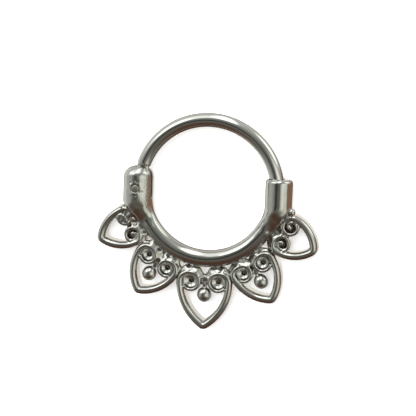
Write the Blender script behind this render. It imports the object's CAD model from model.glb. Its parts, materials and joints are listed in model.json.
"""A hinged clicker ring: its wire hoop, hinge pin and heart casting, on a pale floor."""
import json
import math
from collections import namedtuple

import bmesh
import bpy
from mathutils import Matrix, Vector

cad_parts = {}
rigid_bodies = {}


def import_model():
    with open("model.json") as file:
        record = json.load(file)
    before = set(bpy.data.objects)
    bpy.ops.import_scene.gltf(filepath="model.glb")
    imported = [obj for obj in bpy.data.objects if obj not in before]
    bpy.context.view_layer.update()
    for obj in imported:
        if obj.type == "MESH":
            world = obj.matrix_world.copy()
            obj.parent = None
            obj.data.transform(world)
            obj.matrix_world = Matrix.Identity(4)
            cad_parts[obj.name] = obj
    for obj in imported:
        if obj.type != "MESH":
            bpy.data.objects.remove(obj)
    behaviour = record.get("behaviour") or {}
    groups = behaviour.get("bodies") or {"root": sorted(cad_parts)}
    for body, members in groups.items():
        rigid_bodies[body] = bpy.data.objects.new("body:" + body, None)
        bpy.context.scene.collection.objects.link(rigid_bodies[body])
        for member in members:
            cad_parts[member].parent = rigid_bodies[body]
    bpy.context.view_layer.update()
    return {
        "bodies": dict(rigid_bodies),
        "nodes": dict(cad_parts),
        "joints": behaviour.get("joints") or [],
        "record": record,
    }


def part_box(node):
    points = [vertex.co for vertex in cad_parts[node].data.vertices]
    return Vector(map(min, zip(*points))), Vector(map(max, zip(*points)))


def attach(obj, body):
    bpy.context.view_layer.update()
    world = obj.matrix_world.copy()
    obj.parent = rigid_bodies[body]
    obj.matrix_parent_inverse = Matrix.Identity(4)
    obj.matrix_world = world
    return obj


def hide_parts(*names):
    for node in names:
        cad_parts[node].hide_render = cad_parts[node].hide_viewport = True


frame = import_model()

bl_info = {
    "name": "Clicker Ring",
    "version": (1, 0, 0),
    "blender": (4, 5, 0),
    "location": "View3D > Sidebar > Ring",
    "description": "A hinged clicker ring with a cast lace of openwork hearts",
    "category": "Add Mesh",
}

# Shapes are modelled in millimetres about the ring's middle, with z up from the flat back
MM = 0.001
HINGE = Vector(frame["joints"][0]["pos_m"]) / MM
RING = Vector((0.0, HINGE.y, HINGE.z))
HOOP_LOW, HOOP_HIGH = (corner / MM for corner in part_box("hinged_hoop"))
PIN_LOW, PIN_HIGH = (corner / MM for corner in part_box("hinge_pin"))

# One row for each heart. turn: degrees round the ring from the central heart; reach: the tip's
# distance from the ring's middle; wide: half of the heart's width; out, side: place of a scroll's
# eye along the heart and beside its axis; curl: radius of the scroll's rib once it has closed in;
# ball: place of the ball along the heart, or 0 for none; inner: degrees that the rib goes on
# turning inside the scroll; tip: radius of the tip's outline
Heart = namedtuple("Heart", "name turn reach wide out side curl ball inner tip")
HEARTS = (
    Heart("heart_mid", 0.0, 12.05, 2.46, 7.84, 1.20, 0.76, 9.0, 0.0, 0.58),
    Heart("heart_low_left", -33.3, 11.05, 2.18, 7.62, 0.98, 0.69, 8.94, 0.0, 0.64),
    Heart("heart_low_right", 33.3, 11.05, 2.18, 7.62, 0.96, 0.69, 8.95, 0.0, 0.62),
    Heart("heart_high_left", -63.4, 10.7, 1.86, 7.60, 0.84, 0.62, 0.0, 200.0, 0.66),
    Heart("heart_high_right", 64.2, 10.6, 1.92, 7.66, 0.82, 0.64, 0.0, 200.0, 0.84),
)

# What the metal mirrors, one row for each panel of the room, later rows in front of earlier ones.
# azimuth: degrees from +X towards +Y; elevation: degrees above the horizon; wide, tall: half
# sizes in degrees; soft: share of the size over which the edge fades; bright: strength; tint:
# sRGB colour
Panel = namedtuple("Panel", "azimuth elevation wide tall soft bright tint")
STUDIO = (
    # Pale walls beyond the hoop and beyond the hinge, and the pale table's edge below them
    Panel(90.0, 5.0, 88.0, 50.0, 0.35, 0.60, "#F6F7F1"),
    Panel(184.0, 8.0, 26.0, 42.0, 0.45, 0.58, "#F6F7F1"),
    Panel(90.0, -30.0, 85.0, 30.0, 0.20, 0.80, "#F4F1EC"),
    Panel(190.0, -30.0, 50.0, 30.0, 0.20, 1.00, "#F4F1EC"),
    # The brown table, the white card that lies on it and a brown spot in the card
    Panel(0.0, -90.0, 42.0, 42.0, 0.15, 0.18, "#FFD8C4"),
    Panel(0.0, -90.0, 22.0, 22.0, 0.20, 1.20, "#FBF6EE"),
    Panel(217.0, -77.0, 7.0, 7.0, 0.30, 0.15, "#FFD8C4"),
    # Beyond the catch: a pale board, brown wood low down and a warm board towards the hearts
    Panel(354.0, 42.0, 24.0, 26.0, 0.40, 1.20, "#F8FAF2"),
    Panel(352.0, -28.0, 20.0, 30.0, 0.20, 0.34, "#FFC6A6"),
    Panel(338.0, 26.0, 13.0, 22.0, 0.35, 0.90, "#F8F3DE"),
    # A dark brown wall beyond the hearts, and a dark spot nearly overhead
    Panel(268.0, 2.0, 42.0, 60.0, 0.36, 0.12, "#F8BEA2"),
    Panel(190.0, 74.0, 12.0, 12.0, 0.45, 0.07, "#F8FAF2"),
    # A bright board low down, and a window with its two brightest panes
    Panel(37.0, 3.0, 18.0, 19.0, 0.25, 1.90, "#F8FBF0"),
    Panel(120.0, 31.0, 40.0, 22.0, 0.18, 1.38, "#FBFCF8"),
    Panel(138.0, 38.0, 14.0, 14.0, 0.20, 2.30, "#FFFFFC"),
    Panel(88.0, 24.0, 11.0, 30.0, 0.20, 2.30, "#FFFFFC"),
)
STUDIO_GROUND = "#7D7F79"


class RingSizes(bpy.types.PropertyGroup):
    """Sizes of the ring's pieces, in millimetres."""

    hoop_radius: bpy.props.FloatProperty(
        name="Hoop radius", description="Radius of the hoop's centre line, in mm",
        default=6.0, min=5.5, max=6.5,
    )
    bar_radius: bpy.props.FloatProperty(
        name="Arc radius", description="Radius of the lower arc's centre line, in mm",
        default=5.83, min=5.5, max=6.2,
    )
    bar: bpy.props.FloatProperty(
        name="Arc thickness", description="Diameter of the lower arc's bar, in mm",
        default=1.5, min=1.2, max=1.8,
    )
    hinge_barrel: bpy.props.FloatProperty(
        name="Hinge barrel", description="Diameter of the hinge barrel, in mm",
        default=2.6, min=2.2, max=2.8,
    )
    catch_barrel: bpy.props.FloatProperty(
        name="Catch barrel", description="Diameter of the catch barrel, in mm",
        default=2.35, min=2.0, max=2.6,
    )
    rib: bpy.props.FloatProperty(
        name="Rib width", description="Width of the hearts' flanks, in mm",
        default=0.68, min=0.5, max=0.75,
    )
    heart_height: bpy.props.FloatProperty(
        name="Heart height", description="Height of the hearts' front above the back, in mm",
        default=1.5, min=1.2, max=1.7,
    )
    ball: bpy.props.FloatProperty(
        name="Ball radius", description="Radius of the small balls, in mm",
        default=0.62, min=0.4, max=0.65,
    )
    grain: bpy.props.FloatProperty(
        name="Casting detail", description="Finest detail that the casting keeps, in mm",
        default=0.04, min=0.03, max=0.1,
    )


class RingColours(bpy.types.PropertyGroup):
    """Colours of the ring's metals and of the floor, as sRGB hex values."""

    silver: bpy.props.StringProperty(
        name="Cast silver", description="Polished casting", default="#C6C7C3"
    )
    wire: bpy.props.StringProperty(
        name="Wire", description="Buffed steel wire of the hoop", default="#CFD0CC"
    )
    pin: bpy.props.StringProperty(
        name="Pin", description="Filed end of the steel pin", default="#B4B3AC"
    )
    tarnish: bpy.props.StringProperty(
        name="Tarnish", description="Darkened recesses", default="#7A4C3A"
    )
    floor: bpy.props.StringProperty(
        name="Floor", description="White acrylic under the ring", default="#F8F8F8"
    )


def linear(hex_value):
    """An sRGB hex value as a linear colour."""
    parts = [int(hex_value[i:i + 2], 16) / 255 for i in (1, 3, 5)]
    return (*(c / 12.92 if c <= 0.04045 else ((c + 0.055) / 1.055) ** 2.4 for c in parts), 1.0)


def add(tree, kind, inputs=None, **settings):
    """Adds a node with its settings, and with a value or a link for each input that is named."""
    made = tree.nodes.new(kind)
    for name, value in settings.items():
        setattr(made, name, value)
    for socket, value in (inputs or {}).items():
        if isinstance(value, bpy.types.NodeSocket):
            tree.links.new(value, made.inputs[socket])
        else:
            made.inputs[socket].default_value = value
    return made


def new_material(name):
    """An empty material, its node tree and its output node."""
    material = bpy.data.materials.new(name)
    material.use_nodes = True
    material.node_tree.nodes.clear()
    output = add(material.node_tree, "ShaderNodeOutputMaterial")
    return material, material.node_tree, output


def round_spot(tree, place, point, full, gone):
    """A soft mask: 1 up to full mm from a point, which is in mm too, and 0 from gone mm on."""
    away = add(
        tree, "ShaderNodeVectorMath", {0: place, 1: [value * MM for value in point]},
        operation="DISTANCE",
    )
    mask = add(
        tree, "ShaderNodeMapRange",
        {
            "Value": away.outputs["Value"], "From Min": full * MM, "From Max": gone * MM,
            "To Min": 1.0, "To Max": 0.0,
        },
        interpolation_type="SMOOTHSTEP",
    )
    return mask.outputs["Result"]


def cast_silver(colours, name, shine, dull):
    """Silver-plated casting: soft mirror bands between two roughnesses, and brown recesses.

    The skin is uneven, and worked over by hand round the pin and at the barrels' feet.
    """
    material, tree, output = new_material(name)
    place = add(tree, "ShaderNodeTexCoord").outputs["Object"]
    # Shrinkage of the casting: waves about 1.2 mm long; polishing leaves a mottle of 0.15 mm
    waves = add(
        tree, "ShaderNodeTexNoise",
        {"Vector": place, "Scale": 0.8 / MM, "Detail": 2.0, "Roughness": 0.45},
    )
    mottle = add(
        tree, "ShaderNodeTexNoise",
        {"Vector": place, "Scale": 6.5 / MM, "Detail": 3.0, "Roughness": 0.6},
    )
    # Where other metal stands within 0.45 mm, patches of brown tarnish are left, and are duller
    nooks = add(tree, "ShaderNodeAmbientOcclusion", {"Distance": 0.45 * MM}, samples=12)
    depth = add(
        tree, "ShaderNodeMapRange",
        {
            "Value": nooks.outputs["AO"], "From Min": 0.12, "From Max": 0.46,
            "To Min": 1.0, "To Max": 0.0,
        },
        interpolation_type="SMOOTHSTEP",
    )
    patchy = add(
        tree, "ShaderNodeMapRange",
        {
            "Value": mottle.outputs["Fac"], "From Min": 0.3, "From Max": 0.7,
            "To Min": 0.55, "To Max": 1.0,
        },
    )
    dirt = add(
        tree, "ShaderNodeMath", {0: depth.outputs["Result"], 1: patchy.outputs["Result"]},
        operation="MULTIPLY",
    )
    colour = add(
        tree, "ShaderNodeMix",
        {"Factor": dirt.outputs["Value"], 6: linear(colours.silver), 7: linear(colours.tarnish)},
        data_type="RGBA",
    )
    rough = add(
        tree, "ShaderNodeMapRange",
        {
            "Value": mottle.outputs["Fac"], "From Min": 0.3, "From Max": 0.75,
            "To Min": shine, "To Max": dull,
        },
    )
    tarnish_dulls = 0.22
    rougher = add(
        tree, "ShaderNodeMath",
        {0: dirt.outputs["Value"], 1: tarnish_dulls, 2: rough.outputs["Result"]},
        operation="MULTIPLY_ADD",
    )
    skin = add(
        tree, "ShaderNodeBump",
        {"Strength": 0.45, "Distance": 0.06 * MM, "Height": waves.outputs["Fac"]},
    )
    # Round the pin the barrel's front is filed and rubbed down along its length, so its mirror
    # breaks up there
    pin_end = (HINGE.x, HINGE.y, 2.3 * RING.z)
    upright = add(
        tree, "ShaderNodeMapping", {"Vector": place, "Scale": (1.0, 0.35, 1.0)},
        vector_type="POINT",
    )
    file_marks = add(
        tree, "ShaderNodeTexNoise",
        {
            "Vector": upright.outputs["Vector"], "Scale": 3.2 / MM, "Detail": 4.0,
            "Roughness": 0.65,
        },
    )
    rubbed = add(
        tree, "ShaderNodeBump",
        {
            "Strength": round_spot(tree, place, pin_end, 1.3, 1.9), "Distance": 0.05 * MM,
            "Height": file_marks.outputs["Fac"], "Normal": skin.outputs["Normal"],
        },
    )
    # The pin's end was hammered flush, which left facets 0.3 mm wide close round it
    facets = add(
        tree, "ShaderNodeTexVoronoi", {"Vector": place, "Scale": 3.0 / MM}, feature="SMOOTH_F1"
    )
    peened = add(
        tree, "ShaderNodeBump",
        {
            "Strength": round_spot(tree, place, pin_end, 0.5, 0.95), "Distance": 0.16 * MM,
            "Height": facets.outputs["Distance"], "Normal": rubbed.outputs["Normal"],
        },
    )
    # Where the barrels run down into the arc the metal was ground by hand, in flats about 0.8 mm
    # across; the sign of x is left out, so that one spot covers both feet
    split = add(tree, "ShaderNodeSeparateXYZ", {"Vector": place})
    either = add(tree, "ShaderNodeMath", {0: split.outputs["X"]}, operation="ABSOLUTE")
    folded = add(
        tree, "ShaderNodeCombineXYZ",
        {"X": either.outputs["Value"], "Y": split.outputs["Y"], "Z": split.outputs["Z"]},
    )
    foot = (5.7, RING.y - 2.2, 2.0)
    flats = add(tree, "ShaderNodeTexNoise", {"Vector": place, "Scale": 1.2 / MM, "Detail": 0.0})
    ground = add(
        tree, "ShaderNodeBump",
        {
            "Strength": round_spot(tree, folded.outputs["Vector"], foot, 0.6, 1.9),
            "Distance": 0.20 * MM,
            "Height": flats.outputs["Fac"],
            "Normal": peened.outputs["Normal"],
        },
    )
    polish = add(
        tree, "ShaderNodeBump",
        {
            "Strength": 0.25, "Distance": 0.006 * MM,
            "Height": mottle.outputs["Fac"], "Normal": ground.outputs["Normal"],
        },
    )
    shader = add(
        tree, "ShaderNodeBsdfPrincipled",
        {
            "Base Color": colour.outputs[2],
            "Metallic": 1.0,
            "Roughness": rougher.outputs["Value"],
            "Normal": polish.outputs["Normal"],
        },
    )
    tree.links.new(shader.outputs["BSDF"], output.inputs["Surface"])
    return material


def buffed_wire(colours):
    """Drawn steel wire, buffed: long mirror bands with fine lines that follow the wire."""
    material, tree, output = new_material("buffed_steel_wire")
    place = add(tree, "ShaderNodeTexCoord").outputs["Object"]
    centred = add(
        tree, "ShaderNodeMapping", {"Vector": place, "Location": (0.0, -RING.y * MM, 0.0)},
        vector_type="POINT",
    )
    split = add(tree, "ShaderNodeSeparateXYZ", {"Vector": centred.outputs["Vector"]})
    flat = add(
        tree, "ShaderNodeCombineXYZ", {"X": split.outputs["X"], "Y": split.outputs["Y"]}
    )
    away = add(
        tree, "ShaderNodeVectorMath", {0: flat.outputs["Vector"]}, operation="LENGTH"
    )
    across = add(
        tree, "ShaderNodeCombineXYZ", {"X": away.outputs["Value"], "Z": split.outputs["Z"]}
    )
    # Drawing lines lie 0.05 mm apart across the wire and run on along it; the waves are 1.7 mm long
    lines = add(
        tree, "ShaderNodeTexNoise",
        {"Vector": across.outputs["Vector"], "Scale": 20.0 / MM, "Detail": 2.0, "Roughness": 0.6},
    )
    waves = add(tree, "ShaderNodeTexNoise", {"Vector": place, "Scale": 0.6 / MM, "Detail": 1.0})
    rough = add(
        tree, "ShaderNodeMapRange",
        {
            "Value": lines.outputs["Fac"], "From Min": 0.3, "From Max": 0.7,
            "To Min": 0.04, "To Max": 0.09,
        },
    )
    bent = add(
        tree, "ShaderNodeBump",
        {"Strength": 0.2, "Distance": 0.04 * MM, "Height": waves.outputs["Fac"]},
    )
    drawn = add(
        tree, "ShaderNodeBump",
        {
            "Strength": 0.2, "Distance": 0.002 * MM,
            "Height": lines.outputs["Fac"], "Normal": bent.outputs["Normal"],
        },
    )
    shader = add(
        tree, "ShaderNodeBsdfPrincipled",
        {
            "Base Color": linear(colours.wire),
            "Metallic": 1.0,
            "Roughness": rough.outputs["Result"],
            "Normal": drawn.outputs["Normal"],
        },
    )
    tree.links.new(shader.outputs["BSDF"], output.inputs["Surface"])
    return material


def filed_pin(colours):
    """Steel rivet end, filed and dulled: file marks 0.08 mm apart and a darker, rougher face."""
    material, tree, output = new_material("filed_steel_pin")
    place = add(tree, "ShaderNodeTexCoord").outputs["Object"]
    turned = add(
        tree, "ShaderNodeMapping", {"Vector": place, "Rotation": (0.0, 0.0, math.radians(35))}
    )
    # A wave texture repeats 20 / tau times over one unit of its scale
    marks = add(
        tree, "ShaderNodeTexWave",
        {"Vector": turned.outputs["Vector"], "Scale": 4.0 / MM, "Distortion": 2.5, "Detail": 3.0},
    )
    rough = add(
        tree, "ShaderNodeMapRange",
        {"Value": marks.outputs["Fac"], "To Min": 0.25, "To Max": 0.5},
    )
    cut = add(
        tree, "ShaderNodeBump",
        {"Strength": 0.35, "Distance": 0.01 * MM, "Height": marks.outputs["Fac"]},
    )
    shader = add(
        tree, "ShaderNodeBsdfPrincipled",
        {
            "Base Color": linear(colours.pin),
            "Metallic": 1.0,
            "Roughness": rough.outputs["Result"],
            "Normal": cut.outputs["Normal"],
        },
    )
    tree.links.new(shader.outputs["BSDF"], output.inputs["Surface"])
    return material


def lit_acrylic(colours):
    """White acrylic of a light table: a faint tooth of 0.4 mm, no gloss, a little light from below."""
    material, tree, output = new_material("lit_white_acrylic")
    place = add(tree, "ShaderNodeTexCoord").outputs["Object"]
    tooth = add(tree, "ShaderNodeTexNoise", {"Vector": place, "Scale": 2.5 / MM, "Detail": 2.0})
    bump = add(
        tree, "ShaderNodeBump",
        {"Strength": 0.05, "Distance": 0.02 * MM, "Height": tooth.outputs["Fac"]},
    )
    shader = add(
        tree, "ShaderNodeBsdfPrincipled",
        {
            "Base Color": linear(colours.floor),
            "Roughness": 0.9,
            "Normal": bump.outputs["Normal"],
            "Emission Color": linear(colours.floor),
            "Emission Strength": 0.45,
        },
    )
    tree.links.new(shader.outputs["BSDF"], output.inputs["Surface"])
    return material


def worked(context, bm, modifiers):
    """The mesh that comes out of bm after the modifiers, as a bmesh, still in millimetres."""
    mesh = bpy.data.meshes.new("workpiece")
    bm.to_mesh(mesh)
    bm.free()
    piece = bpy.data.objects.new("workpiece", mesh)
    context.scene.collection.objects.link(piece)
    for kind, settings in modifiers:
        modifier = piece.modifiers.new(kind.lower(), kind)
        for name, value in settings.items():
            setattr(modifier, name, value)
    evaluated = piece.evaluated_get(context.evaluated_depsgraph_get())
    done = bpy.data.meshes.new_from_object(evaluated)
    bpy.data.objects.remove(piece)
    bpy.data.meshes.remove(mesh)
    out = bmesh.new()
    out.from_mesh(done)
    bpy.data.meshes.remove(done)
    return out


def carve(context, bm, cutters):
    """Cuts each cutter, a bmesh, out of bm."""
    tools = []
    for cutter in cutters:
        bmesh.ops.recalc_face_normals(cutter, faces=cutter.faces)
        mesh = bpy.data.meshes.new("cutter")
        cutter.to_mesh(mesh)
        cutter.free()
        tool = bpy.data.objects.new("cutter", mesh)
        context.scene.collection.objects.link(tool)
        tools.append(tool)
    bmesh.ops.recalc_face_normals(bm, faces=bm.faces)
    cut = {"operation": "DIFFERENCE", "solver": "EXACT"}
    out = worked(context, bm, [("BOOLEAN", {**cut, "object": tool}) for tool in tools])
    for tool in tools:
        mesh = tool.data
        bpy.data.objects.remove(tool)
        bpy.data.meshes.remove(mesh)
    return out


def keep_largest(bm):
    """Leaves only the largest connected skin, without the closed voids inside it."""
    left = set(bm.verts)
    parts = []
    while left:
        part = [left.pop()]
        for vert in part:
            for edge in vert.link_edges:
                other = edge.other_vert(vert)
                if other in left:
                    left.remove(other)
                    part.append(other)
        parts.append(part)
    parts.sort(key=len)
    for part in parts[:-1]:
        bmesh.ops.delete(bm, geom=part, context="VERTS")


def cast(context, bm, grain):
    """Melts all the solids in bm into one skin with soft edges and fillets, as a casting has."""
    smoothing_passes = 3
    bmesh.ops.recalc_face_normals(bm, faces=bm.faces)
    out = worked(context, bm, [("REMESH", {"mode": "VOXEL", "voxel_size": grain})])
    keep_largest(out)
    for _ in range(smoothing_passes):
        bmesh.ops.smooth_vert(
            out, verts=out.verts, factor=0.5, use_axis_x=True, use_axis_y=True, use_axis_z=True
        )
    return out


def finish_piece(context, name, bm, material, body, node):
    """Makes the object from bm, at its place in the frame, riding on a body for a CAD node."""
    bmesh.ops.remove_doubles(bm, verts=bm.verts, dist=0.0001)
    bmesh.ops.recalc_face_normals(bm, faces=bm.faces)
    for face in bm.faces:
        face.smooth = True
    to_frame = Matrix.Diagonal((MM, MM, MM, 1.0)) @ Matrix.Translation((RING.x, RING.y, 0.0))
    bmesh.ops.transform(bm, matrix=to_frame, verts=bm.verts)
    mesh = bpy.data.meshes.new(name)
    bm.to_mesh(mesh)
    bm.free()
    mesh.materials.append(material)
    piece = bpy.data.objects.new(name, mesh)
    context.scene.collection.objects.link(piece)
    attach(piece, body)
    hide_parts(node)


def bend(centre, radius, start, stop, steps):
    """Frames for a sweep along an arc, from one angle to another in degrees."""
    frames = []
    for step in range(steps + 1):
        angle = start + (stop - start) * step / steps
        frames.append(
            Matrix.Translation((centre[0], centre[1], 0.0))
            @ Matrix.Rotation(math.radians(angle), 4, "Z")
            @ Matrix.Translation((radius, 0.0, 0.0))
        )
    return frames


def sweep(bm, section, frames):
    """Extrudes a flat section, drawn in the XZ plane at the origin, from frame to frame."""
    bmesh.ops.transform(bm, matrix=frames[0], verts=section.verts)
    end = section
    for before, after in zip(frames, frames[1:]):
        grown = bmesh.ops.extrude_face_region(bm, geom=[end])
        if end is not section:
            bmesh.ops.delete(bm, geom=[end], context="FACES_ONLY")
        end = next(part for part in grown["geom"] if isinstance(part, bmesh.types.BMFace))
        bmesh.ops.transform(bm, matrix=after @ before.inverted(), verts=end.verts)


def disc(bm, radius, segments, height=0.0):
    """A round section in the XZ plane at a height."""
    made = bmesh.ops.create_circle(bm, cap_ends=True, radius=radius, segments=segments)
    upright = Matrix.Translation((0.0, 0.0, height)) @ Matrix.Rotation(math.radians(90), 4, "X")
    bmesh.ops.transform(bm, matrix=upright, verts=made["verts"])
    return made["verts"][0].link_faces[0]


def revolve(bm, profile, centre):
    """A turned solid from a profile of (radius, height) points from axis to axis."""
    turned = bmesh.new()
    verts = [turned.verts.new((radius, 0.0, height)) for radius, height in profile]
    edges = [turned.edges.new(pair) for pair in zip(verts, verts[1:])]
    bmesh.ops.spin(
        turned, geom=verts + edges, cent=(0.0, 0.0, 0.0), axis=(0.0, 0.0, 1.0),
        dvec=(0.0, 0.0, 0.0), angle=math.tau, steps=40, use_merge=True, use_duplicate=False,
    )
    bmesh.ops.remove_doubles(turned, verts=turned.verts, dist=0.0005)
    bmesh.ops.translate(turned, vec=(centre[0], centre[1], 0.0), verts=turned.verts)
    join(bm, turned)


def join(bm, part):
    """Adds a finished part to bm."""
    mesh = bpy.data.meshes.new("part")
    part.to_mesh(mesh)
    part.free()
    bm.from_mesh(mesh)
    bpy.data.meshes.remove(mesh)


def block(bm, low, high, turn=0.0):
    """A box between two corners, turned about the ring's middle."""
    size = [b - a for a, b in zip(low, high)]
    middle = [(a + b) / 2 for a, b in zip(low, high)]
    place = (
        Matrix.Rotation(math.radians(turn), 4, "Z")
        @ Matrix.Translation(middle)
        @ Matrix.Diagonal((*size, 1.0))
    )
    bmesh.ops.create_cube(bm, size=1.0, matrix=place)


def bead(bm, centre, radius):
    """A round bead."""
    bmesh.ops.create_icosphere(
        bm, subdivisions=3, radius=radius, matrix=Matrix.Translation(centre)
    )


def path_frames(points, crown):
    """Frames for a sweep through points of (x, y, width, top).

    The crown's height follows the width.
    """
    frames = []
    for index, (x, y, width, top) in enumerate(points):
        before = points[max(index - 1, 0)]
        after = points[min(index + 1, len(points) - 1)]
        heading = math.atan2(after[1] - before[1], after[0] - before[0]) - math.pi / 2
        frames.append(
            Matrix.Translation((x, y, top - crown * width))
            @ Matrix.Rotation(heading, 4, "Z")
            @ Matrix.Diagonal((width, 1.0, width, 1.0))
        )
    return frames


def sweep_rib(bm, width, points):
    """Sweeps a rib with straight sides and a round crown through points of (x, y, width, top)."""
    crown = 0.42
    depth = 5.0
    corners = [(-width / 2, -depth), (width / 2, -depth)]
    for angle in range(0, 181, 15):
        across, upward = math.cos(math.radians(angle)), math.sin(math.radians(angle))
        corners.append((across * width / 2, crown * upward))
    section = bm.faces.new([bm.verts.new((x, 0.0, z)) for x, z in corners])
    sweep(bm, section, path_frames(points, crown))
    trim_back(bm)


def trim_back(bm):
    """Cuts off what lies below the flat back, and closes the cut."""
    bmesh.ops.bisect_plane(
        bm, geom=bm.verts[:] + bm.edges[:] + bm.faces[:],
        plane_co=(0.0, 0.0, 0.0), plane_no=(0.0, 0.0, -1.0), clear_outer=True,
    )
    bmesh.ops.holes_fill(bm, edges=[edge for edge in bm.edges if edge.is_boundary], sides=0)


def half_heart(bm, heart, sizes):
    """The right half of a heart: its flank, the scroll it curls into, and the scroll's cup."""
    shoulder_width = 0.86
    high = sizes.heart_height
    shoulder = heart.wide - sizes.rib / 2 * shoulder_width
    # The flank is an arc that runs tangent into the small arc round the tip, which starts a
    # little past the heart's axis so that the two halves overlap
    tip = heart.tip - sizes.rib / 2
    flank = heart.reach - heart.tip - heart.out
    radius = (flank * flank + shoulder * shoulder - tip * tip) / (2 * (shoulder - tip))
    tip_angle = -math.atan2(flank, radius - shoulder)
    past_axis = -1.75
    tip_steps = 8
    points = []
    for step in range(tip_steps):
        angle = past_axis + (tip_angle - past_axis) * step / tip_steps
        x = tip * math.cos(angle)
        y = tip * math.sin(angle) - heart.reach + heart.tip
        points.append((x, y, 1.0, high))
    flank_steps = 30
    for step in range(flank_steps):
        angle = tip_angle * (1 - step / flank_steps)
        width = 1.0 - (1.0 - shoulder_width) * (step / flank_steps) ** 2
        x = shoulder - radius + radius * math.cos(angle)
        y = radius * math.sin(angle) - heart.out
        points.append((x, y, width, high))
    # The rib closes in over the scroll's first degrees, narrows and sinks a little, and ends
    # against the flank's inner side
    closing = 110.0
    full_turn = 322.0
    narrow = 0.46
    narrowing = 55.0
    sinks = 0.06
    scroll_steps = 54
    for step in range(scroll_steps + 1):
        turned = full_turn * step / scroll_steps
        ease = (1 + math.cos(math.pi * min(turned / closing, 1.0))) / 2
        away = heart.curl + (shoulder - heart.side - heart.curl) * ease
        width = narrow + (shoulder_width - narrow) * math.exp(-turned / narrowing)
        angle = math.radians(turned)
        top = high - sinks * step / scroll_steps
        x = heart.side + away * math.cos(angle)
        y = away * math.sin(angle) - heart.out
        points.append((x, y, width, top))
    sweep_rib(bm, sizes.rib, points)
    cup(bm, heart)
    if heart.inner:
        inner_curl(bm, heart, sizes, full_turn)


def cup(bm, heart):
    """The dished floor of a scroll, with a blind eye where the rib doesn't go on inside."""
    eye = 0.22
    eye_floor = 0.35
    low = 0.86
    rise = 0.33
    rim = heart.curl
    dish = [
        (eye + (rim - eye) * t, low + rise * t ** 1.5)
        for t in (1.0, 0.85, 0.7, 0.55, 0.4, 0.25, 0.0)
    ]
    middle = [(0.0, low)] if heart.inner else [(eye, eye_floor), (0.0, eye_floor)]
    profile = [(0.0, 0.0), (rim, 0.0), *dish, *middle]
    revolve(bm, profile, (heart.side, -heart.out))


def inner_curl(bm, heart, sizes, turn_from):
    """The end of the rib, which goes on turning inside the scroll down to a small nub."""
    overlap = 40.0
    beside_rib = 0.04
    last_radius = 0.1
    width, narrows = 0.4, 0.06
    below_rib, sinks = 0.09, 0.12
    nub, nub_below = 0.23, 0.36
    points = []
    steps = 30
    for step in range(steps + 1):
        t = step / steps
        away = (heart.curl - beside_rib) * (1 - t) + last_radius * t
        angle = math.radians(turn_from - overlap + (heart.inner + overlap) * t)
        x = heart.side + away * math.cos(angle)
        y = away * math.sin(angle) - heart.out
        points.append((x, y, width - narrows * t, sizes.heart_height - below_rib - sinks * t))
    sweep_rib(bm, sizes.rib, points)
    bead(bm, (points[-1][0], points[-1][1], sizes.heart_height - nub_below), nub)


def root_shelf(bm, heart):
    """The lumpy shelf that slopes from a scroll's top to the arc, where the metal ran in."""
    inner, outer = 0.08, 0.56
    inner_top, outer_top = 1.40, 1.0
    section = (
        (inner, 0.0), (outer, 0.0), (outer, outer_top), (outer - 0.05, 1.11),
        (inner + 0.08, inner_top), (inner, inner_top),
    )
    # Two waves of lumps run along the shelf, and it is widest where it comes nearest the arc
    coarse, fine, fine_share = 7.0, 12.0, 0.5
    side_lumps, top_lumps = 0.08, 0.018
    usual, wider, sharp = 1.05, 0.15, 8
    first, last = 24, 162
    frames = []
    steps = 44
    for step in range(steps + 1):
        angle = math.radians(first + (last - first) * step / steps)
        lump = math.sin(coarse * angle + heart.turn) + fine_share * math.sin(fine * angle)
        wide = usual + side_lumps * lump + wider * math.sin(angle) ** sharp
        frames.append(
            Matrix.Translation((heart.side, -heart.out, 0.0))
            @ Matrix.Rotation(angle, 4, "Z")
            @ Matrix.Translation((heart.curl, 0.0, 0.0))
            @ Matrix.Diagonal((wide, 1.0, 1.0 + top_lumps * lump, 1.0))
        )
    sweep(bm, bm.faces.new([bm.verts.new((x, 0.0, z)) for x, z in section]), frames)


def rough_fill(bm, heart):
    """The rough flat grains that fill a scroll where the casting didn't run clean."""
    grains = 18
    spacing = 0.165
    golden_angle = 137.5
    tilt = 0.35
    smallest, larger = 0.24, 0.05
    lowest, higher = 1.22, 0.03
    off_eye = (-0.12, 0.1)
    for step in range(grains):
        angle = math.radians(golden_angle * step)
        away = spacing * math.sqrt(step)
        size = smallest + larger * ((step * 7) % 3)
        x = away * math.cos(angle) - heart.side + off_eye[0]
        y = away * math.sin(angle) - heart.out + off_eye[1]
        z = lowest + higher * ((step * 5) % 4)
        place = (
            Matrix.Translation((x, y, z))
            @ Matrix.Rotation(angle, 4, "Z")
            @ Matrix.Rotation(tilt, 4, "X")
            @ Matrix.Diagonal((1.15, 0.9, 0.6, 1.0))
        )
        bmesh.ops.create_icosphere(bm, subdivisions=3, radius=size, matrix=place)


def scroll_root(bm, heart, sizes):
    """The web that joins a scroll to the lower arc."""
    half = 0.42
    high = 0.9
    into_bar = 0.3
    inner = sizes.bar_radius + sizes.bar / 2 - into_bar
    outer = heart.out - heart.curl
    lean = math.degrees(math.atan2(heart.side, heart.out))
    block(bm, (-half, -outer, 0.0), (half, -inner, high), lean)


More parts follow.
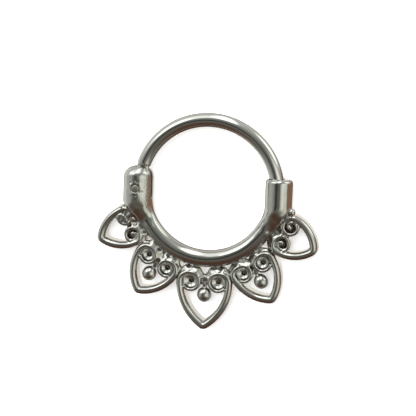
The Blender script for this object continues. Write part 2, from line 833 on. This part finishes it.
def heart_web(bm, heart, sizes):
    """The low web between the two scrolls, and the ball on its stem."""
    overlap = 0.1
    down, up, high = 0.3, 0.4, 0.95
    half = heart.side - heart.curl + overlap
    block(bm, (-half, -heart.out - down, 0.0), (half, -heart.out + up, high))
    if not heart.ball:
        return
    stem, stem_low, stem_high = 0.16, 0.45, 1.15
    block(bm, (-stem, -heart.ball, stem_low), (stem, -heart.out - overlap, stem_high))
    # The ball is a little longer along the heart than across
    longer = Matrix.Diagonal((1.0, 1.06, 1.0, 1.0))
    place = Matrix.Translation((0.0, -heart.ball, RING.z)) @ longer
    bmesh.ops.create_uvsphere(bm, u_segments=32, v_segments=20, radius=sizes.ball, matrix=place)


def flat_bar(bm, sizes, spread):
    """A stretch of the lower arc's bar, a little thinner, for a heart's fillets to grow from."""
    thinner = 0.03
    frames = bend((0.0, 0.0), sizes.bar_radius, -spread - 90.0, spread - 90.0, steps=24)
    sweep(bm, disc(bm, sizes.bar / 2 - thinner, 32, RING.z), frames)


def barrel_frames(sizes, side, barrel, top, edge):
    """Frames from a barrel's rounded top, down its side and in to the lower arc."""
    axis = abs(HINGE.x)
    foot = -1.0
    join_turn = math.radians(36)
    scale = barrel / sizes.bar
    frames = []

    def place(x, y, turn, width, height):
        frames.append(
            Matrix.Translation((side * x, y, RING.z))
            @ Matrix.Rotation(math.pi + side * turn, 4, "Z")
            @ Matrix.Diagonal((width, 1.0, height, 1.0))
        )

    edge_steps = 8
    for step in range(edge_steps + 1):
        turn = math.radians(90 - step * 90 / edge_steps)
        size = scale - (1 - math.cos(turn)) * edge * 2 / sizes.bar
        place(axis, top - edge + edge * math.sin(turn), 0.0, size, size)
    side_steps = 12
    for step in range(1, side_steps + 1):
        y = (top - edge) + (foot - top + edge) * step / side_steps
        place(axis, y, 0.0, scale, scale)
    # From the foot on, the inner and the outer side each bend into their side of the arc
    ends = []
    for half in (-1, 1):
        start = Vector((axis + half * barrel / 2, foot))
        radius = sizes.bar_radius + half * sizes.bar / 2
        stop = Vector((math.cos(join_turn), -math.sin(join_turn))) * radius
        ends.append((start, stop, (stop - start).length))
    heading = Vector((-math.sin(join_turn), -math.cos(join_turn)))
    join_steps = 16
    height_settled = 0.7
    for step in range(1, join_steps + 1):
        t = step / join_steps
        inner, outer = (
            start * (2 * t ** 3 - 3 * t ** 2 + 1)
            + Vector((0.0, -length)) * (t ** 3 - 2 * t ** 2 + t)
            + stop * (3 * t ** 2 - 2 * t ** 3)
            + heading * length * (t ** 3 - t ** 2)
            for start, stop, length in ends
        )
        across = outer - inner
        middle = (inner + outer) / 2
        turn = math.atan2(across.y, across.x)
        lowered = min(t / height_settled, 1.0)
        height = scale + (1 - scale) * (3 * lowered ** 2 - 2 * lowered ** 3)
        place(middle.x, middle.y, turn, across.length / sizes.bar, height)
    return frames


class RING_OT_hoop(bpy.types.Operator):
    """Make the round wire hoop with its flat hinge tab"""

    bl_idname = "ring.hoop"
    bl_label = "Wire Hoop"

    def execute(self, context):
        sizes = context.scene.ring_sizes
        wire = HOOP_HIGH.z - HOOP_LOW.z
        centre = (0.0, HOOP_HIGH.y - RING.y - wire / 2 - sizes.hoop_radius)
        catch_turn = 12.0
        hinge_turn = 160.6
        bm = bmesh.new()
        arc = bend(centre, sizes.hoop_radius, catch_turn, hinge_turn, steps=150)
        # Both ends run on straight and are rounded off, the free one to slip into the catch and
        # the other where it is flattened into the hinge's tab
        down = arc[0] @ Matrix.Rotation(math.radians(-catch_turn / 2), 4, "Z")
        tip = self.taper(down, ((-1.13, 0.80), (-1.10, 0.93), (-1.02, 1.0)))
        neck = self.taper(arc[-1], ((0.05, 0.98), (0.09, 0.93), (0.125, 0.84), (0.145, 0.70)))
        sweep(bm, disc(bm, wire / 2, 48), tip + arc + neck)
        bmesh.ops.translate(bm, vec=(0.0, 0.0, RING.z), verts=bm.verts)
        self.tab(bm, arc[-1])
        metal = buffed_wire(context.scene.ring_colours)
        finish_piece(context, "wire_hoop", bm, metal, "hoop", "hinged_hoop")
        return {"FINISHED"}

    def taper(self, frame, steps):
        """Frames straight on from one, for each (distance, share of the thickness)."""
        return [
            frame @ Matrix.Translation((0.0, along, 0.0)) @ Matrix.Diagonal((size, 1.0, size, 1.0))
            for along, size in steps
        ]

    def tab(self, bm, wire_end):
        """The flat tab with a round eye, which turns on the pin."""
        thick = 0.7
        eye = 0.78
        gap = 0.04
        bore = (PIN_HIGH.x - PIN_LOW.x) / 2 + gap
        low = RING.z - thick / 2
        high = RING.z + thick / 2
        rim = 0.06
        profile = (
            (bore, low), (eye - rim, low), (eye, low + rim),
            (eye, high - rim), (eye - rim, high), (bore, high),
        )
        verts = [bm.verts.new((HINGE.x + x, 0.0, z)) for x, z in profile]
        edges = [bm.edges.new(pair) for pair in zip(verts, verts[1:] + verts[:1])]
        bmesh.ops.spin(
            bm, geom=verts + edges, cent=(HINGE.x, 0.0, 0.0), axis=(0.0, 0.0, 1.0),
            dvec=(0.0, 0.0, 0.0), angle=math.tau, steps=48, use_merge=True, use_duplicate=False,
        )
        # The neck starts inside the wire, widens towards the eye and ends in the eye's ring
        end = wire_end.translation
        to_pin = Vector((HINGE.x - end.x, -end.y))
        angle = math.degrees(math.atan2(to_pin.y, to_pin.x)) + 90
        start = (
            Matrix.Translation((end.x, end.y, 0.0)) @ Matrix.Rotation(math.radians(angle), 4, "Z")
        )
        widths = ((-0.35, 0.86), (0.0, 0.94), (0.9, 1.15), (to_pin.length - 0.5, 1.3))
        neck = [
            start @ Matrix.Translation((0.0, -along, 0.0)) @ Matrix.Diagonal((width, 1.0, 1.0, 1.0))
            for along, width in widths
        ]
        half, flat = 0.5, 0.44
        corners = (
            (-half, low + rim), (-flat, low), (flat, low), (half, low + rim),
            (half, high - rim), (flat, high), (-flat, high), (-half, high - rim),
        )
        sweep(bm, bm.faces.new([bm.verts.new((x, 0.0, z)) for x, z in corners]), neck)


class RING_OT_pin(bpy.types.Operator):
    """Make the hinge pin with its two low riveted ends"""

    bl_idname = "ring.pin"
    bl_label = "Hinge Pin"

    def execute(self, context):
        radius = (PIN_HIGH.x - PIN_LOW.x) / 2
        # The front end is level with the hinge barrel's crown
        low, high = PIN_LOW.z, 2 * RING.z + 0.285
        crown = 0.07
        turns = [math.radians(degrees) for degrees in range(0, 90, 15)]
        dome = [(radius * math.cos(turn), crown * math.sin(turn)) for turn in turns]
        profile = [(0.0, low)] + [(r, low + crown - z) for r, z in reversed(dome)]
        profile += [(r, high - crown + z) for r, z in dome] + [(0.0, high)]
        bm = bmesh.new()
        revolve(bm, profile, (HINGE.x, 0.0))
        metal = filed_pin(context.scene.ring_colours)
        finish_piece(context, "riveted_pin", bm, metal, "casting", "hinge_pin")
        return {"FINISHED"}


class RING_OT_lower_arc(bpy.types.Operator):
    """Make the lower arc with its hinge barrel and catch barrel"""

    bl_idname = "ring.lower_arc"
    bl_label = "Lower Arc and Barrels"

    def execute(self, context):
        sizes = context.scene.ring_sizes
        bm = bmesh.new()
        left = barrel_frames(sizes, -1, sizes.hinge_barrel, top=1.9, edge=0.95)
        right = barrel_frames(sizes, 1, sizes.catch_barrel, top=1.42, edge=0.3)
        arc = bend((0.0, 0.0), sizes.bar_radius, 217.0, 323.0, steps=94)
        arc = [Matrix.Translation((0.0, 0.0, RING.z)) @ place for place in arc]
        half_turn = Matrix.Rotation(math.pi, 4, "Z")
        right = [place @ half_turn for place in right[::-1]]
        sweep(bm, disc(bm, sizes.bar / 2, 64), left + arc + right)
        trim_back(bm)
        bm = carve(context, bm, self.cutters())
        # This piece is large and smooth, so it needs less detail than the hearts
        coarser = 1.38
        bm = cast(context, bm, sizes.grain * coarser)
        # The wheel reaches the arc and the barrels, which are polished to a mirror
        metal = cast_silver(context.scene.ring_colours, "polished_cast_silver", 0.05, 0.12)
        finish_piece(context, "lower_arc", bm, metal, "casting", "heart_casting")
        return {"FINISHED"}

    def cutters(self):
        """The slot for the hoop's tab, the pin's bore and the catch's blind bore."""
        slot = bmesh.new()
        slot_half, past_sides = 0.4, 1.5
        slot_floor, past_top = -0.88, 2.2
        block(
            slot,
            (HINGE.x - past_sides, slot_floor, RING.z - slot_half),
            (HINGE.x + past_sides, past_top, RING.z + slot_half),
        )
        bore = bmesh.new()
        bore_radius, right_through = 0.335, 4.0
        bmesh.ops.create_cone(
            bore, cap_ends=True, segments=40, radius1=bore_radius, radius2=bore_radius,
            depth=right_through, matrix=Matrix.Translation((HINGE.x, 0.0, RING.z)),
        )
        catch = bmesh.new()
        catch_radius, catch_deep = 0.67, 2.0
        catch_middle = (5.87, 1.15, RING.z)
        catch_lean = math.radians(3.6)
        place = Matrix.Translation(catch_middle) @ Matrix.Rotation(catch_lean, 4, "Z")
        bmesh.ops.create_cone(
            catch, cap_ends=True, segments=48, radius1=catch_radius, radius2=catch_radius,
            depth=catch_deep, matrix=place @ Matrix.Rotation(math.radians(90), 4, "X"),
        )
        return slot, bore, catch


class RING_OT_hearts(bpy.types.Operator):
    """Make the five openwork hearts with their scrolls and balls"""

    bl_idname = "ring.hearts"
    bl_label = "Openwork Hearts"

    def execute(self, context):
        # The openwork is only tumbled, so its mirror is softer
        metal = cast_silver(context.scene.ring_colours, "tumbled_cast_silver", 0.10, 0.22)
        for heart in HEARTS:
            self.make(context, heart, context.scene.ring_sizes, metal)
        return {"FINISHED"}

    def make(self, context, heart, sizes, metal):
        """One heart, modelled upright below the ring's middle and then turned to its place."""
        bm = bmesh.new()
        half_heart(bm, heart, sizes)
        root_shelf(bm, heart)
        scroll_root(bm, heart, sizes)
        bmesh.ops.mirror(
            bm, geom=bm.verts[:] + bm.edges[:] + bm.faces[:], matrix=Matrix.Identity(4),
            merge_dist=0.0, axis="X",
        )
        heart_web(bm, heart, sizes)
        if heart.name == "heart_high_left":
            rough_fill(bm, heart)
        beside_scroll = 0.6
        spread = math.degrees(math.atan2(heart.side + beside_scroll, heart.out))
        flat_bar(bm, sizes, spread)
        turned = Matrix.Rotation(math.radians(heart.turn), 4, "Z")
        bmesh.ops.transform(bm, matrix=turned, verts=bm.verts)
        if heart.name == "heart_high_right":
            # Solder between the heart and the catch barrel
            solder, solder_radius = (7.3, -1.32, 1.3), 0.34
            bead(bm, solder, solder_radius)
        bm = cast(context, bm, sizes.grain)
        finish_piece(context, heart.name, bm, metal, "casting", "heart_casting")


class RING_OT_stage(bpy.types.Operator):
    """Lay out the pale floor, the soft studio light and the camera"""

    bl_idname = "ring.stage"
    bl_label = "Floor, Light and Camera"

    def execute(self, context):
        self.floor(context)
        self.world(context)
        self.softbox(context, "overhead_light", Vector((-0.10, 0.18, 0.64)), 0.60, 3.8)
        self.softbox(context, "side_light", Vector((-0.30, 0.40, 0.34)), 0.24, 2.4)
        self.camera(context)
        return {"FINISHED"}

    def floor(self, context):
        """An acrylic sheet 2 m wide, a hair below the ring's flat back."""
        bm = bmesh.new()
        bmesh.ops.create_grid(bm, x_segments=1, y_segments=1, size=1.0)
        bmesh.ops.translate(bm, vec=(0.0, 0.0, -0.02 * MM), verts=bm.verts)
        mesh = bpy.data.meshes.new("floor")
        bm.to_mesh(mesh)
        bm.free()
        mesh.materials.append(lit_acrylic(context.scene.ring_colours))
        floor = bpy.data.objects.new("floor", mesh)
        floor.visible_glossy = False
        context.scene.collection.objects.link(floor)

    def world(self, context):
        """The room that the metal mirrors, panel by panel; the camera sees plain white."""
        world = bpy.data.worlds.new("studio")
        context.scene.world = world
        world.use_nodes = True
        tree = world.node_tree
        tree.nodes.clear()
        looking = add(tree, "ShaderNodeTexCoord").outputs["Generated"]
        colour = linear(STUDIO_GROUND)
        for panel in STUDIO:
            share = self.panel_share(tree, looking, panel)
            shade = [channel * panel.bright for channel in linear(panel.tint)[:3]]
            colour = add(
                tree, "ShaderNodeMix", {"Factor": share, 6: colour, 7: (*shade, 1.0)},
                data_type="RGBA",
            ).outputs[2]
        seen = add(tree, "ShaderNodeLightPath").outputs["Is Camera Ray"]
        shown = add(
            tree, "ShaderNodeMix", {"Factor": seen, 6: colour, 7: (1.0, 1.0, 1.0, 1.0)},
            data_type="RGBA",
        )
        background = add(tree, "ShaderNodeBackground", {"Color": shown.outputs[2], "Strength": 1.0})
        output = add(tree, "ShaderNodeOutputWorld")
        tree.links.new(background.outputs["Background"], output.inputs["Surface"])

    def panel_share(self, tree, looking, panel):
        """How far a panel covers the direction: 1 within its soft oval edge and 0 outside."""
        turn = (
            Matrix.Rotation(math.radians(panel.azimuth), 3, "Z")
            @ Matrix.Rotation(-math.radians(panel.elevation), 3, "Y")
        )
        axes = (
            turn.col[0],
            turn.col[1] / math.sin(math.radians(panel.wide)),
            turn.col[2] / math.sin(math.radians(panel.tall)),
        )
        ahead, across, upward = (
            add(
                tree, "ShaderNodeVectorMath", {0: looking, 1: axis}, operation="DOT_PRODUCT"
            ).outputs["Value"]
            for axis in axes
        )
        off = add(tree, "ShaderNodeCombineXYZ", {"X": across, "Y": upward})
        away = add(tree, "ShaderNodeVectorMath", {0: off.outputs["Vector"]}, operation="LENGTH")
        within = add(
            tree, "ShaderNodeMapRange",
            {
                "Value": away.outputs["Value"],
                "From Min": 1.0 + panel.soft, "From Max": 1.0 - panel.soft,
                "To Min": 0.0, "To Max": 1.0,
            },
            interpolation_type="SMOOTHSTEP",
        )
        front = add(tree, "ShaderNodeMath", {0: ahead, 1: 0.0}, operation="GREATER_THAN")
        both = add(
            tree, "ShaderNodeMath", {0: within.outputs["Result"], 1: front.outputs["Value"]},
            operation="MULTIPLY",
        )
        return both.outputs["Value"]

    def softbox(self, context, name, place, size, power):
        """A square softbox that faces the ring."""
        light = bpy.data.lights.new(name, "AREA")
        light.shape = "SQUARE"
        light.size = size
        light.energy = power
        lamp = bpy.data.objects.new(name, light)
        lamp.location = place
        lamp.rotation_euler = (-place).to_track_quat("-Z", "Y").to_euler()
        lamp.visible_glossy = False
        context.scene.collection.objects.link(lamp)

    def camera(self, context):
        """The view of the ring's front, from a little above and to the right of its middle."""
        frame_side = 416
        distance = 120.0
        pixels_per_mm = 11.7
        middle_row = 191.3
        roll, pitch, yaw = (math.radians(degrees) for degrees in (-2.1, 8.0, -10.6))
        turn = (
            Matrix.Rotation(roll, 4, "Z")
            @ Matrix.Rotation(pitch, 4, "X")
            @ Matrix.Rotation(yaw, 4, "Y")
        ).transposed()
        data = bpy.data.cameras.new("camera")
        data.sensor_width = 36.0
        data.lens = data.sensor_width * pixels_per_mm * distance / frame_side
        data.clip_start = 1.0 * MM
        tilt = math.atan((middle_row - frame_side / 2) / (pixels_per_mm * distance))
        camera = bpy.data.objects.new("camera", data)
        place = (RING + turn @ Vector((0.0, 0.0, distance))) * MM
        camera.matrix_world = Matrix.Translation(place) @ turn @ Matrix.Rotation(tilt, 4, "X")
        context.scene.collection.objects.link(camera)
        context.scene.camera = camera
        context.scene.view_settings.view_transform = "Standard"


class RING_PT_panel(bpy.types.Panel):
    """The ring's sizes, colours and making steps"""

    bl_idname = "RING_PT_panel"
    bl_label = "Clicker Ring"
    bl_space_type = "VIEW_3D"
    bl_region_type = "UI"
    bl_category = "Ring"

    def draw(self, context):
        for group in (context.scene.ring_sizes, context.scene.ring_colours):
            for name in group.bl_rna.properties.keys():
                if name not in ("rna_type", "name"):
                    self.layout.prop(group, name)
        for operator in OPERATORS:
            self.layout.operator(operator.bl_idname)


OPERATORS = (RING_OT_stage, RING_OT_hoop, RING_OT_pin, RING_OT_lower_arc, RING_OT_hearts)
CLASSES = (RingSizes, RingColours, *OPERATORS, RING_PT_panel)


def register():
    for cls in CLASSES:
        bpy.utils.register_class(cls)
    bpy.types.Scene.ring_sizes = bpy.props.PointerProperty(type=RingSizes)
    bpy.types.Scene.ring_colours = bpy.props.PointerProperty(type=RingColours)


def unregister():
    del bpy.types.Scene.ring_colours
    del bpy.types.Scene.ring_sizes
    for cls in reversed(CLASSES):
        bpy.utils.unregister_class(cls)


def main():
    register()
    bpy.ops.ring.stage()
    bpy.ops.ring.hoop()
    bpy.ops.ring.pin()
    bpy.ops.ring.lower_arc()
    bpy.ops.ring.hearts()


if __name__ == "__main__":
    main()
